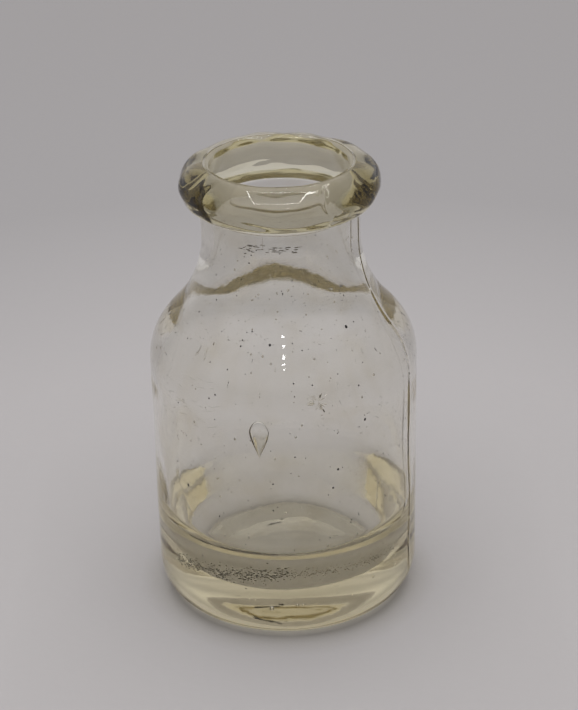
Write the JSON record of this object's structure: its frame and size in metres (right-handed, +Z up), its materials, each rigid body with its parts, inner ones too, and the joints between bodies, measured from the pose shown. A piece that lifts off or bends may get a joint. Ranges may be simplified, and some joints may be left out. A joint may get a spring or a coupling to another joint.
{
  "type": "medicine bottle",
  "caption": "Small round wide-mouth glass medicine bottle with a thick doughnut lip, curved shoulder and heavy base, open and empty.",
  "frame": {"origin": "centre of the foot, on the surface that the bottle stands on", "axes": "+Z up along the bottle's axis, out of the mouth; -Y is the side that the main view faces; the mould seams are near +X and -X"},
  "size_m": [0.036, 0.036, 0.0626],
  "materials": {
    "body_glass": "old clear glass with a faint straw tint, fire-polished, with seeds and mould seams",
    "lip_glass": "the same glass laid on thick and tooled, so it reads darker and more olive"
  },
  "bodies": {
    "root": {"bottle_body": "body_glass", "lip_ring": "lip_glass"}
  },
  "joints": []
}
